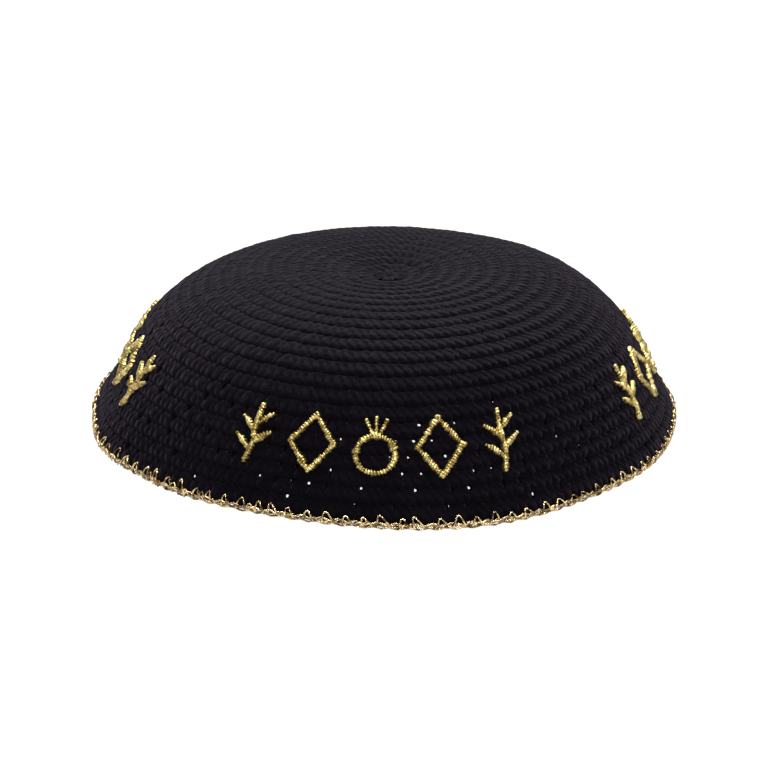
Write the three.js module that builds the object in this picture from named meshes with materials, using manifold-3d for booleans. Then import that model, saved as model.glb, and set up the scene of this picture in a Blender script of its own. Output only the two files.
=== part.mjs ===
// A crocheted skullcap: a soft round dome worked in rounds of black yarn,
// edged with a gold thread and trimmed with a band of raised gold embroidery.
// Millimetres, +Z up. The origin is on the surface the cap rests on, under the
// middle of its edge, and the front of the cap faces -Y.

import * as THREE from "three";
import Module from "manifold-3d";

const wasm = await Module();
wasm.setup();

// Driving sizes of the cap
const rimRadius = 86; // outside of the crown at its edge
const capHeight = 46.3; // from the surface it rests on to its flat top
const wallThickness = 3; // crocheted fabric, over the crests of the rounds
const roundPitch = 4.6; // height of one crocheted round, along the fabric
const lastRound = 6.2; // height of the last round, which holds the edging
const ribDepth = 0.8; // how far the valleys lie under the crests
const seatGap = 0.3; // clearance between pieces that touch

// Driving sizes of the gold edging, a ring of thread under the crown's edge
const edgingHeight = 1.2;
const edgingWidth = 2.6;
const edgingChamfer = 0.4;

// Driving sizes of the embroidery
const motifWidth = 12; // between stroke centres
const motifHeight = 16;
const motifSpacing = 4.8; // added to the width for the step between motifs
const bandArc = 22; // fabric between the crown's edge and the band's middle
const strokeWidth = 2.3;
const strokeRise = 1;
const motifsPerGroup = 5;
const groupGap = 32; // bare fabric between two groups of motifs
const firstGroupAzimuth = -2; // degrees, turning from the front to the right

// How finely the surfaces are faceted
const segments = 45;
const innerRows = 9;
const strokeStep = 3.2; // longest straight run of a stroke

// Meridian of the crown from the apex to its edge: the sunken centre, the
// flat top, the soft shoulder and the steep side, as shares of rimRadius and
// of the height between the crown's edge and its highest round.
const SECTIONS = [
  { radius: 0.0, height: 0.94 },
  { radius: 0.07, height: 0.947 },
  { radius: 0.14, height: 0.973 },
  { radius: 0.28, height: 1.0 },
  { radius: 0.42, height: 0.993 },
  { radius: 0.53, height: 0.948 },
  { radius: 0.63, height: 0.878 },
  { radius: 0.72, height: 0.776 },
  { radius: 0.8, height: 0.633 },
  { radius: 0.87, height: 0.452 },
  { radius: 0.94, height: 0.222 },
  { radius: 1.0, height: 0.0 },
];

// The soft cap leans: its top sits a little right and forward of its edge.
const LEAN = { right: 0.0125, forward: 0.1 };

// The edge isn't quite round: soft corners and flats that fade out up the side,
// with azimuth and spread in degrees and out as a share of rimRadius.
const CORNERS = [
  { azimuth: -65, spread: 18, out: 0.018 },
  { azimuth: -20, spread: 26, out: -0.014 },
  { azimuth: 19, spread: 24, out: 0.02 },
  { azimuth: 60, spread: 18, out: 0.006 },
];
const cornerReach = 0.3; // of the meridian

// Soft hollows and swellings of the crown. Arc and reach are shares of the
// meridian, out is a share of rimRadius.
const DENTS = [
  { azimuth: 115, spread: 46, arc: 0.45, reach: 0.22, out: 0.012 },
  { azimuth: 88, spread: 30, arc: 0.88, reach: 0.12, out: -0.007 },
  { azimuth: -92, spread: 36, arc: 0.87, reach: 0.14, out: -0.014 },
];
const evenTop = 0.16; // share of the meridian over which the dents fade in

// Where the edge lifts off the surface, as shares of capHeight.
const LIFTS = [
  { azimuth: -20, spread: 30, lift: 0.01 },
  { azimuth: 165, spread: 34, lift: 0.016 },
];
const liftReach = 0.2; // of the meridian

// Motifs of the band, as strokes in shares of half their width and height.
const MOTIFS = {
  sprig: [
    { points: [[-0.12, -1.1], [0.06, -0.4], [0.02, 0.4], [0.1, 1.1]], width: 0.85 },
    { points: [[0.0, -0.62], [-0.42, -0.3], [-0.82, -0.08]], leaf: true },
    { points: [[0.04, -0.36], [0.46, -0.04], [0.86, 0.16]], leaf: true },
    { points: [[0.02, 0.04], [-0.36, 0.38], [-0.74, 0.58]], leaf: true },
    { points: [[0.04, 0.3], [0.42, 0.62], [0.76, 0.82]], leaf: true },
  ],
  lozenge: [
    { points: [[0, 1], [1, 0], [0, -1], [-1, 0]], closed: true },
  ],
  fruit: [
    { round: { centre: [0, -0.26], radii: [0.84, 0.66] }, closed: true },
    { points: [[0, 0.4], [0, 1.08]], width: 0.7 },
    { points: [[-0.1, 0.36], [-0.5, 0.98]], width: 0.7 },
    { points: [[0.1, 0.36], [0.5, 0.98]], width: 0.7 },
  ],
};
const GROUP_ORDER = ["sprig", "lozenge", "fruit", "lozenge", "sprig"];
const roundStrokeSides = 16;
const leafWidths = [0.55, 1.05, 0.4]; // of strokeWidth, root to tip
const strokeTop = 0.6; // width of a stroke's flat top, as a share of its base
const sharpestTurn = 0.4; // cosine of half a corner's turn that is still mitred

const yarn = new THREE.MeshStandardMaterial({
  color: 0x14121a,
  roughness: 0.92,
  metalness: 0,
});
const goldThread = new THREE.MeshStandardMaterial({
  color: 0xc8a24a,
  roughness: 0.38,
  metalness: 0.75,
});

const radians = THREE.MathUtils.degToRad;

// Crown surface

const crownEdge = edgingHeight + seatGap; // height of the crown's lower edge
const crownRise = capHeight - crownEdge;
const meridian = new THREE.CatmullRomCurve3(
  SECTIONS.map(
    (s) => new THREE.Vector3(s.radius * rimRadius, 0, crownEdge + s.height * crownRise),
  ),
  false,
  "centripetal",
);
meridian.arcLengthDivisions = 400;
const meridianLength = meridian.getLength();

// 1 at the middle of a soft bump, falling smoothly to 0 at its spread.
function bump(distance, spread) {
  const share = Math.min(Math.abs(distance) / spread, 1);
  return 0.5 + 0.5 * Math.cos(Math.PI * share);
}

// Difference of two azimuths in degrees, between -180 and 180.
function turn(a, b) {
  return ((((a - b) % 360) + 540) % 360) - 180;
}

// A point of the crown: azimuth in degrees from the front towards the right,
// arc share from apex to edge, and its distance out of the crest surface.
function crownPoint(azimuth, share, out) {
  const onCurve = meridian.getPointAt(share);
  const tangent = meridian.getTangentAt(share);
  const fade = Math.min(share / evenTop, 1);
  const dent = DENTS.reduce(
    (sum, d) =>
      sum + d.out * bump(turn(azimuth, d.azimuth), d.spread) * bump(share - d.arc, d.reach),
    0,
  );
  const along = out + fade * dent * rimRadius;
  const corner = 1 + cornerOut(azimuth) * bump(1 - share, cornerReach);
  const radius = share === 0 ? 0 : (onCurve.x - tangent.z * along) * corner;
  const level = onCurve.z + (share === 0 ? 1 : tangent.x) * along;
  const leaning = Math.max(level - crownEdge, 0) / crownRise;
  const a = radians(azimuth);
  return new THREE.Vector3(
    radius * Math.sin(a) + LEAN.right * rimRadius * leaning,
    -radius * Math.cos(a) - LEAN.forward * rimRadius * leaning,
    level + edgeLift(azimuth) * bump(1 - share, liftReach),
  );
}

// How far the edge's corners stand out of its circle, as a share of rimRadius.
function cornerOut(azimuth) {
  return CORNERS.reduce(
    (sum, c) => sum + c.out * bump(turn(azimuth, c.azimuth), c.spread),
    0,
  );
}

// How far the edge stands off the surface at an azimuth.
function edgeLift(azimuth) {
  return LIFTS.reduce(
    (sum, l) => sum + l.lift * capHeight * bump(turn(azimuth, l.azimuth), l.spread),
    0,
  );
}

// A closed skin from an apex point, rings of points and a second apex point.
function skinBetween(firstApex, rings, lastApex) {
  const points = [firstApex, ...rings.flat(), lastApex];
  const last = points.length - 1;
  const faces = [];
  const at = (ring, i) => 1 + ring * segments + (i % segments);
  for (let i = 0; i < segments; i++) {
    faces.push([0, at(0, i), at(0, i + 1)]);
    for (let ring = 0; ring + 1 < rings.length; ring++) {
      faces.push([at(ring, i), at(ring + 1, i), at(ring + 1, i + 1)]);
      faces.push([at(ring, i), at(ring + 1, i + 1), at(ring, i + 1)]);
    }
    faces.push([at(rings.length - 1, i), last, at(rings.length - 1, i + 1)]);
  }
  return geometryOf(points, faces);
}

function geometryOf(points, faces) {
  const geometry = new THREE.BufferGeometry().setFromPoints(points);
  geometry.setIndex(faces.flat());
  geometry.computeVertexNormals();
  return geometry;
}

function ringAt(pointAt) {
  return Array.from({ length: segments }, (_, i) => pointAt((i * 360) / segments));
}

// The crown: ribbed outside, one rib for each round, and plain inside.
function crownGeometry() {
  const lastStart = 1 - lastRound / meridianLength;
  const rounds = Math.round((meridianLength - lastRound) / roundPitch);
  const rings = [];
  for (let round = 0; round < rounds; round++) {
    if (round > 0) {
      rings.push(ringAt((a) => crownPoint(a, (lastStart * round) / rounds, -ribDepth)));
    }
    rings.push(ringAt((a) => crownPoint(a, (lastStart * (round + 1 / 3)) / rounds, 0)));
    rings.push(ringAt((a) => crownPoint(a, (lastStart * (round + 2 / 3)) / rounds, 0)));
  }
  rings.push(ringAt((a) => crownPoint(a, lastStart, -ribDepth)));
  rings.push(ringAt((a) => crownPoint(a, (2 * lastStart + 1) / 3, 0)));
  rings.push(ringAt((a) => crownPoint(a, (lastStart + 2) / 3, 0)));
  rings.push(ringAt((a) => edgePoint(a, ribDepth)));
  rings.push(ringAt((a) => edgePoint(a, wallThickness)));
  for (let row = innerRows - 1; row > 0; row--) {
    const share = (row / innerRows) * (1 - wallThickness / meridianLength);
    rings.push(ringAt((a) => crownPoint(a, share, -wallThickness)));
  }
  return skinBetween(
    crownPoint(0, 0, -ribDepth),
    rings,
    crownPoint(0, 0, -wallThickness),
  );
}

// A point of the crown's level lower edge, a depth under the crests.
function edgePoint(azimuth, depth) {
  const sideways = -meridian.getTangentAt(1).z;
  const radius = rimRadius * (1 + cornerOut(azimuth)) - depth / sideways;
  const a = radians(azimuth);
  return new THREE.Vector3(
    radius * Math.sin(a),
    -radius * Math.cos(a),
    crownEdge + edgeLift(azimuth),
  );
}

// The gold edging: a chamfered ring of thread that the crown's edge stands on.
function edgingGeometry() {
  const outside = rimRadius;
  const inside = rimRadius - edgingWidth;
  const section = [
    [outside - edgingChamfer, 0],
    [outside, edgingChamfer],
    [outside, edgingHeight - edgingChamfer],
    [outside - edgingChamfer, edgingHeight],
    [inside + edgingChamfer, edgingHeight],
    [inside, edgingHeight - edgingChamfer],
    [inside, edgingChamfer],
    [inside + edgingChamfer, 0],
  ];
  const points = [];
  const faces = [];
  for (let i = 0; i < segments; i++) {
    const azimuth = (i * 360) / segments;
    const a = radians(azimuth);
    for (const [inRadius, level] of section) {
      const radius = inRadius + rimRadius * cornerOut(azimuth);
      points.push(
        new THREE.Vector3(
          radius * Math.sin(a),
          -radius * Math.cos(a),
          level + edgeLift(azimuth),
        ),
      );
    }
    const near = i * section.length;
    const far = ((i + 1) % segments) * section.length;
    section.forEach((_, k) => {
      const next = (k + 1) % section.length;
      faces.push([near + k, far + k, far + next]);
      faces.push([near + k, far + next, near + next]);
    });
  }
  return geometryOf(points, faces);
}

// Embroidery

// The centre line of a stroke in millimetres, in runs no longer than strokeStep.
function strokeLine(stroke) {
  const scale = ([x, y]) =>
    new THREE.Vector2((x * motifWidth) / 2, (y * motifHeight) / 2);
  if (stroke.round) {
    const { centre, radii } = stroke.round;
    return Array.from({ length: roundStrokeSides }, (_, i) => {
      const t = (-2 * Math.PI * i) / roundStrokeSides;
      return scale([centre[0] + radii[0] * Math.cos(t), centre[1] + radii[1] * Math.sin(t)]);
    });
  }
  if (stroke.closed) {
    const corners = stroke.points.map(scale);
    return corners.flatMap((corner, i) => {
      const next = corners[(i + 1) % corners.length];
      const runs = Math.ceil(corner.distanceTo(next) / strokeStep);
      return Array.from({ length: runs }, (_, k) => corner.clone().lerp(next, k / runs));
    });
  }
  const curve = new THREE.SplineCurve(stroke.points.map(scale));
  const runs = Math.max(2, Math.ceil(curve.getLength() / strokeStep));
  return curve.getSpacedPoints(runs);
}

// A stroke of satin stitch as a flat-bottomed solid: x and y on the fabric, z
// out of it. Corners are mitred, and a leaf swells and narrows to its tip.
function strokeSolid(stroke) {
  const line = strokeLine(stroke);
  const count = line.length;
  const points = [];
  line.forEach((here, i) => {
    const before = line[stroke.closed ? (i + count - 1) % count : Math.max(i - 1, 0)];
    const after = line[stroke.closed ? (i + 1) % count : Math.min(i + 1, count - 1)];
    const arrive = here.clone().sub(i || stroke.closed ? before : here).normalize();
    const leave = after.clone().sub(here).normalize();
    const heading = arrive.clone().add(leave).normalize();
    const turned = heading.dot(leave.lengthSq() ? leave : arrive);
    const mitre = 1 / Math.max(turned, sharpestTurn);
    const side = new THREE.Vector2(-heading.y, heading.x);
    const half = (strokeWidth / 2) * strokeShare(stroke, i / (count - 1)) * mitre;
    for (const [across, out] of [
      [-half, 0],
      [-half * strokeTop, strokeRise],
      [half * strokeTop, strokeRise],
      [half, 0],
    ]) {
      points.push(here.x + side.x * across, here.y + side.y * across, out);
    }
  });
  const faces = [];
  const spans = stroke.closed ? count : count - 1;
  for (let i = 0; i < spans; i++) {
    const near = i * 4;
    const far = ((i + 1) % count) * 4;
    for (let k = 0; k < 4; k++) {
      const next = (k + 1) % 4;
      faces.push(near + k, far + k, far + next);
      faces.push(near + k, far + next, near + next);
    }
  }
  if (!stroke.closed) {
    const end = (count - 1) * 4;
    faces.push(0, 1, 2, 0, 2, 3);
    faces.push(end, end + 2, end + 1, end, end + 3, end + 2);
  }
  return new wasm.Manifold(
    new wasm.Mesh({
      numProp: 3,
      vertProperties: new Float32Array(points),
      triVerts: new Uint32Array(faces),
    }),
  );
}

// The width of a stroke at a share of its length, as a share of strokeWidth.
function strokeShare(stroke, share) {
  if (!stroke.leaf) return stroke.width ?? 1;
  const [root, middle, tip] = leafWidths;
  return share < 0.5
    ? THREE.MathUtils.lerp(root, middle, share * 2)
    : THREE.MathUtils.lerp(middle, tip, share * 2 - 1);
}

// A motif is flat until it is laid on the crown at an azimuth.
function motifGeometry(name, azimuth) {
  const flat = MOTIFS[name]
    .map(strokeSolid)
    .reduce((whole, stroke) => whole.add(stroke));
  const { numProp, vertProperties, triVerts } = flat.getMesh();
  const points = [];
  for (let i = 0; i < vertProperties.length; i += numProp) {
    const [x, y, out] = vertProperties.subarray(i, i + 3);
    const sideways = THREE.MathUtils.radToDeg(x / bandRadius);
    points.push(
      crownPoint(azimuth + sideways, bandShare - y / meridianLength, out + seatGap),
    );
  }
  return geometryOf(points, Array.from(triVerts));
}

const bandShare = 1 - bandArc / meridianLength;
const bandRadius = meridian.getPointAt(bandShare).x;
const motifStep = motifWidth + motifSpacing;
const groupLength = motifsPerGroup * motifStep;
const groups = Math.max(
  1,
  Math.round((2 * Math.PI * bandRadius) / (groupLength + groupGap)),
);

const cap = new THREE.Group();

function place(name, geometry, material) {
  const mesh = new THREE.Mesh(geometry, material);
  mesh.name = name;
  cap.add(mesh);
}

place("crown", crownGeometry(), yarn);
place("gold_edging", edgingGeometry(), goldThread);
for (let group = 0; group < groups; group++) {
  for (let i = 0; i < motifsPerGroup; i++) {
    const fromMiddle = i - (motifsPerGroup - 1) / 2;
    const azimuth =
      firstGroupAzimuth +
      (group * 360) / groups +
      THREE.MathUtils.radToDeg((fromMiddle * motifStep) / bandRadius);
    const name = GROUP_ORDER[i % GROUP_ORDER.length];
    place(`${name}_${group + 1}_${i + 1}`, motifGeometry(name, azimuth), goldThread);
  }
}

export default cap;
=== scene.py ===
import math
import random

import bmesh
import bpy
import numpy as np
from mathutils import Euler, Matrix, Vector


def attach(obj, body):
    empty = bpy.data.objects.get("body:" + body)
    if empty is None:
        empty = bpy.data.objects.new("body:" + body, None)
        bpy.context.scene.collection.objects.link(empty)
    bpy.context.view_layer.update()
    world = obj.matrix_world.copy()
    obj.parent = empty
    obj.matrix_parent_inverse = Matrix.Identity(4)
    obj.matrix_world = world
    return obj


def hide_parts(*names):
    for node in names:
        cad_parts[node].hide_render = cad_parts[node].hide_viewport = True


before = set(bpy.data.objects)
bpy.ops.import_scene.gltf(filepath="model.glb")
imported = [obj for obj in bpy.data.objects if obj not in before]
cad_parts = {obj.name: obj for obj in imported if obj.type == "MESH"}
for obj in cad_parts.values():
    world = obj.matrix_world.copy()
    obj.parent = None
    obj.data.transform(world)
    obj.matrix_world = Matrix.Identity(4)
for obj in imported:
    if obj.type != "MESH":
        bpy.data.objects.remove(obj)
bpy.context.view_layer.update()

# %% [markdown]
# A crocheted skullcap
#
# The cap is a soft round dome, worked in rounds of thick black yarn from the
# middle of its top down to its edge. A thin gold thread is worked round the
# edge, and motifs of gold satin stitch stand on its side. The frame holds
# these as plain solids. This lesson builds the cap the way it is made: a yarn
# wall, then every stitch on it, then the gold.

MM = 0.001

# %% [markdown]
# The camera
#
# The photograph looks down on the front of the cap from about seven edge
# radii away, a little over 20 degrees above it. The camera could be placed at
# the end, but everything else is judged through it, so it comes first. It
# aims a little under the cap, so that the cap sits where the photograph has
# it, and it is rolled by half a degree.

# %% Camera
RIM_RADIUS = 86 * MM
CAMERA_ELEVATION = math.radians(20.06)
CAMERA_DISTANCE = 7 * RIM_RADIUS
CAMERA_TARGET = Vector((0, 0, 0.3 * RIM_RADIUS))
CAMERA_LENS = 96.3
CAMERA_PITCH = math.radians(-1.68)
CAMERA_YAW = math.radians(0.016)
CAMERA_ROLL = math.radians(0.53)


def make_camera():
    data = bpy.data.cameras.new("camera")
    data.lens = CAMERA_LENS
    data.sensor_width = 36
    camera = bpy.data.objects.new("camera", data)
    bpy.context.scene.collection.objects.link(camera)
    back = Vector((0, -math.cos(CAMERA_ELEVATION), math.sin(CAMERA_ELEVATION)))
    camera.location = CAMERA_TARGET + CAMERA_DISTANCE * back
    aim = Euler((math.pi / 2 - CAMERA_ELEVATION + CAMERA_PITCH, 0, CAMERA_YAW))
    roll = Euler((0, 0, CAMERA_ROLL))
    camera.rotation_euler = (aim.to_matrix() @ roll.to_matrix()).to_euler()
    bpy.context.scene.camera = camera
    print("camera:", round(CAMERA_DISTANCE, 3), "m away, lens", CAMERA_LENS, "mm")


make_camera()

# %% [markdown]
# The shape of the cap
#
# The real dome is soft: it leans, its edge has rounded corners, its side has
# shallow dents, and its edge lifts off the table in two places. It could be
# sculpted, but every stitch has to lie on it, so it is a function instead. The
# function takes an azimuth round the cap, an arc from the middle of the top
# and a depth out of the yarn's crests, and gives a point. The tables are the
# few shares that shaped the solids too.

# %% Tables of the surface
CAP_HEIGHT = 46.3 * MM
CROWN_EDGE = 1.5 * MM
CROWN_RISE = CAP_HEIGHT - CROWN_EDGE
SECTION_RADII = (0, 0.07, 0.14, 0.28, 0.42, 0.53, 0.63, 0.72, 0.8, 0.87, 0.94, 1)
SECTION_HEIGHTS = (0.94, 0.947, 0.973, 1, 0.993, 0.948, 0.878, 0.776, 0.633, 0.452, 0.222, 0)
LEAN_RIGHT, LEAN_FORWARD = 0.0125, 0.1
CORNERS = (
    dict(azimuth=-65, spread=18, out=0.018),
    dict(azimuth=-20, spread=26, out=-0.014),
    dict(azimuth=19, spread=24, out=0.02),
    dict(azimuth=60, spread=18, out=0.006),
)
CORNER_REACH = 0.3
DENTS = (
    dict(azimuth=115, spread=46, arc=0.45, reach=0.22, out=0.012),
    dict(azimuth=88, spread=30, arc=0.88, reach=0.12, out=-0.007),
    dict(azimuth=-92, spread=36, arc=0.87, reach=0.14, out=-0.014),
)
EVEN_TOP = 0.16
LIFTS = (
    dict(azimuth=-20, spread=30, lift=0.01),
    dict(azimuth=165, spread=34, lift=0.016),
)
LIFT_REACH = 0.2
print("surface:", len(CORNERS), "corners,", len(DENTS), "dents,", len(LIFTS), "lifts")


# %% Meridian
def spline_through(points, samples):
    """A centripetal Catmull-Rom curve through the points, sampled evenly between them."""
    points = [2 * points[0] - points[1], *points, 2 * points[-1] - points[-2]]
    curve = []
    for p0, p1, p2, p3 in zip(points, points[1:], points[2:], points[3:]):
        d0, d1, d2 = (np.linalg.norm(b - a) ** 0.5 for a, b in ((p0, p1), (p1, p2), (p2, p3)))
        leave = ((p1 - p0) / d0 - (p2 - p0) / (d0 + d1) + (p2 - p1) / d1) * d1
        arrive = ((p2 - p1) / d1 - (p3 - p1) / (d1 + d2) + (p3 - p2) / d2) * d1
        t = np.linspace(0, 1, samples, endpoint=False)[:, None]
        curve.append(
            p1 + t * leave
            + t**2 * (3 * (p2 - p1) - 2 * leave - arrive)
            + t**3 * (2 * (p1 - p2) + leave + arrive)
        )
    return np.vstack([*curve, points[-2]])


knots = [
    np.array((radius * RIM_RADIUS, CROWN_EDGE + height * CROWN_RISE))
    for radius, height in zip(SECTION_RADII, SECTION_HEIGHTS)
]
meridian = spline_through(knots, 60)
meridian_arcs = np.append(0, np.cumsum(np.linalg.norm(np.diff(meridian, axis=0), axis=1)))
MERIDIAN = meridian_arcs[-1]
meridian_slopes = np.gradient(meridian, meridian_arcs, axis=0)
print("meridian:", round(MERIDIAN / MM, 1), "mm from the middle of the top to the edge")


# %% Bumps, corners and lifts
def bump(distance, spread):
    """1 in the middle of a soft bump, falling smoothly to 0 at its spread."""
    return 0.5 + 0.5 * np.cos(np.pi * np.minimum(np.abs(distance) / spread, 1))


def turn(a, b):
    """The turn from azimuth b to azimuth a, the short way round."""
    return (a - b + 180) % 360 - 180


def corner_out(azimuth):
    """How far the corners push the edge out, as a share of its radius."""
    return sum(
        corner["out"] * bump(turn(azimuth, corner["azimuth"]), corner["spread"])
        for corner in CORNERS
    )


def edge_lift(azimuth):
    """How far the edge lifts off the table."""
    return sum(
        place["lift"] * CAP_HEIGHT * bump(turn(azimuth, place["azimuth"]), place["spread"])
        for place in LIFTS
    )


# %% Points on the cap
LEAST_RADIUS = 1 * MM


def crown_points(azimuth, arc, out):
    """Points of the cap: azimuth in degrees from the front towards the right,
    arc in metres from the middle of the top, out in metres from the crests."""
    share = arc / MERIDIAN
    inside = np.clip(arc, 0, MERIDIAN)
    radius, level, across, down = (
        np.interp(inside, meridian_arcs, column)
        for column in (*meridian.T, *meridian_slopes.T)
    )
    radius = radius + (arc - inside) * across
    level = level + (arc - inside) * down
    dent = sum(
        dent["out"]
        * bump(turn(azimuth, dent["azimuth"]), dent["spread"])
        * bump(share - dent["arc"], dent["reach"])
        for dent in DENTS
    )
    along = out + np.clip(share / EVEN_TOP, 0, 1) * dent * RIM_RADIUS
    corner = 1 + bump(1 - share, CORNER_REACH) * corner_out(azimuth)
    radius = (radius - down * along) * corner
    level = level + across * along
    leaning = np.maximum(level - CROWN_EDGE, 0) / CROWN_RISE
    a = np.radians(azimuth)
    return np.stack(
        [
            radius * np.sin(a) + LEAN_RIGHT * RIM_RADIUS * leaning,
            -radius * np.cos(a) - LEAN_FORWARD * RIM_RADIUS * leaning,
            level + edge_lift(azimuth) * bump(1 - share, LIFT_REACH),
        ],
        axis=-1,
    )


def radius_at(arc):
    """The radius of the section at one arc."""
    return float(np.interp(arc, meridian_arcs, meridian[:, 0]))


def turning_radii(arcs):
    """The radii at many arcs, kept over a least radius, so that no azimuth runs wild."""
    return np.maximum(np.interp(arcs, meridian_arcs, meridian[:, 0]), LEAST_RADIUS)


# %% [markdown]
# Rounds and stitches
#
# A flat circle of crochet grows by about six stitches a round. Further down
# the side the count hardly changes, so the fabric turns downwards, and the
# last round is worked taller, to hold the gold thread. Real rounds may climb
# in one spiral. Closed rounds look the same from outside and are simpler, and
# each is turned a little against the last, as the stitches of a spiral are.

# %% Rounds
ROUND_PITCH = 4.6 * MM
LAST_ROUND = 6.2 * MM
BARE_EDGE = 0.8 * MM
STITCH_WIDTH = 4.8 * MM
LEAST_STITCHES = 6
DRIFT = -0.6
WALL = 3 * MM
ROUNDS = round((MERIDIAN - LAST_ROUND) / ROUND_PITCH)


def make_rounds():
    """Each round: its start and end along the meridian, its stitches and its turn."""
    rounds = []
    step = (MERIDIAN - LAST_ROUND) / ROUNDS
    for i in range(ROUNDS + 1):
        start = i * step
        end = start + (step if i < ROUNDS else LAST_ROUND - BARE_EDGE)
        around = 2 * math.pi * radius_at((start + end) / 2)
        count = max(LEAST_STITCHES, round(around / STITCH_WIDTH))
        rounds.append(dict(start=start, end=end, count=count, turned=DRIFT * i))
    return rounds


def round_sizes(r):
    """A round's count of stitches, its middle arc and the width of a stitch."""
    middle = (r["start"] + r["end"]) / 2
    return r["count"], middle, 2 * math.pi * radius_at(middle) / r["count"]


rounds = make_rounds()
print("rounds:", len(rounds), "with", sum(r["count"] for r in rounds), "stitches")

# %% [markdown]
# Pinholes
#
# Where the tops of two stitches don't quite meet, the fabric keeps a pinhole,
# and light from the table shines through it. A pinhole could be painted as a
# white dot, but a real hole shines only where light stands behind it. They
# are chosen first, because both the wall and the stitches beside them open
# round them. The lower rounds are the most stretched, so most are there.

# %% Choose the pinholes
PINHOLE_SHARES = {
    14: 0.04, 15: 0.06, 16: 0.16, 17: 0.38, 18: 0.5, 19: 0.56, 20: 0.6, 21: 0.6, 22: 0.32,
}
PINHOLE_SIZE = 1.05 * MM
PINHOLE_SIZES = (0.6, 1.1)
PINHOLE_ARC = 0.7 * MM
STRETCHED_AZIMUTH, STRETCHED_SPREAD = 5, 75
UNSTRETCHED_SHARE = 0.4


def choose_pinholes():
    """The azimuth, arc and size of each pinhole, beside the tops of two stitches."""
    random.seed(11)
    chosen = []
    for i, likely in PINHOLE_SHARES.items():
        r = rounds[i]
        for stitch in range(r["count"]):
            azimuth = (stitch + 0.5) * 360 / r["count"] + r["turned"]
            stretched = bump(turn(azimuth, STRETCHED_AZIMUTH), STRETCHED_SPREAD)
            chance = likely * (UNSTRETCHED_SHARE + (1 - UNSTRETCHED_SHARE) * stretched)
            if random.random() < chance:
                size = PINHOLE_SIZE * random.uniform(*PINHOLE_SIZES)
                chosen.append((azimuth, r["start"] + PINHOLE_ARC, size))
    return chosen


pinholes = choose_pinholes()
print("pinholes:", len(pinholes))

# %% Keep the yarn clear of the pinholes
YARN_CLEARED, HOLE_CLEARED = 0.9, 0.55
CLEARED_ARC = 2.2 * MM
CLEARED_SOFTNESS = 0.7


def kept_clear(azimuths, arcs, half_widths):
    """Azimuths of yarn moved aside, so that it leaves the pinholes near it open."""
    local = turning_radii(arcs)
    for azimuth, arc, size in pinholes:
        if abs(arc - arcs.mean()) > 2 * ROUND_PITCH:
            continue
        beside = np.radians(turn(azimuths, azimuth)) * local
        wanted = half_widths * YARN_CLEARED + size * HOLE_CLEARED
        short = np.maximum(wanted - np.abs(beside), 0)
        aside = np.sign(beside) * short * bump(arcs - arc, CLEARED_ARC) ** CLEARED_SOFTNESS
        azimuths = azimuths + np.degrees(aside / local)
    return azimuths


# %% [markdown]
# Small shapes and their copies
#
# Most of the cap is one small shape repeated hundreds of times: a leg of a
# stitch, or a thread of the embroidery. Each copy could be an object of its
# own, but thousands of objects are slow to handle. So the shape is modelled
# once with bmesh operators, its copies are laid on the surface, and they are
# joined in one mesh. Laying a shape on the far side of a surface can turn it
# inside out, so the joined mesh has its normals recalculated.

# %% Small shapes
def template_of(bm):
    """Keeps a small bmesh as arrays: its corners and its faces."""
    bmesh.ops.recalc_face_normals(bm, faces=bm.faces)
    bm.verts.index_update()
    corners = np.array([v.co for v in bm.verts])
    faces = [tuple(v.index for v in f.verts) for f in bm.faces]
    bm.free()
    return corners, faces


def tube_template(rings, sides):
    """A closed tube as arrays: each corner's share along it, its turn round the
    tube with 0 on the side that shows, its distance from the axis, and the faces."""
    bm = bmesh.new()
    bmesh.ops.create_cone(bm, cap_ends=True, segments=sides, radius1=1, radius2=1, depth=1)
    upright = [e for e in bm.edges if abs(e.verts[0].co.z - e.verts[1].co.z) > 0.5]
    bmesh.ops.subdivide_edges(bm, edges=upright, cuts=rings - 1, use_grid_fill=True)
    bmesh.ops.poke(bm, faces=[f for f in bm.faces if len(f.verts) == sides])
    corners, faces = template_of(bm)
    angle = np.arctan2(corners[:, 0], corners[:, 1])
    return corners[:, 2] + 0.5, angle, np.hypot(corners[:, 0], corners[:, 1]), faces


def closed_uvs(faces, uvs, periods):
    """The map of every face corner, with the faces over a seam kept whole."""
    corners = []
    for face in faces:
        own = uvs[list(face)].copy()
        for k, period in enumerate(periods):
            far = own[:, k] < own[:, k].max() - period / 2
            own[far, k] += period
        corners.append(own)
    return np.concatenate(corners)


# %% Joined copies
def recalculated(mesh):
    """The mesh with the faces of every copy pointing outwards."""
    bm = bmesh.new()
    bm.from_mesh(mesh)
    bmesh.ops.recalc_face_normals(bm, faces=bm.faces)
    bm.to_mesh(mesh)
    bm.free()
    return mesh


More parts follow.
